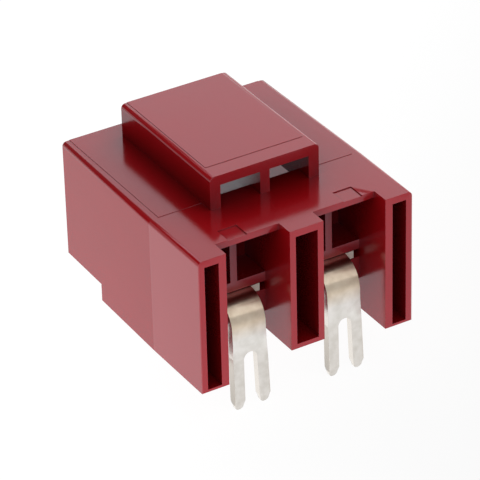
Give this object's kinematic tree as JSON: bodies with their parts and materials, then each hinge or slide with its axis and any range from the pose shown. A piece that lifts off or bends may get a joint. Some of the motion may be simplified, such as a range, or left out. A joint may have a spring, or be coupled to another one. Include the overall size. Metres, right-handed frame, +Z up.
{
  "type": "rectangular connector",
  "caption": "Right-angle power header for a circuit board: glossy moulded shroud with hollow ribs, a parting wall and a lock tunnel, holding bent blade contacts with forked legs.",
  "frame": {"origin": "on the board plane, in the middle of the width, under the terminal-end faces of the ribs", "axes": "+X across the two contacts, +Y from the terminal end to the mating end, +Z up from the board"},
  "size_m": [0.0176, 0.0196, 0.017],
  "materials": {
    "housing_plastic": "glossy moulded, deep red",
    "contact_tin": "tin plated, satin"
  },
  "bodies": {
    "root": {"housing": "housing_plastic", "contact_left": "contact_tin", "contact_right": "contact_tin"}
  },
  "joints": []
}
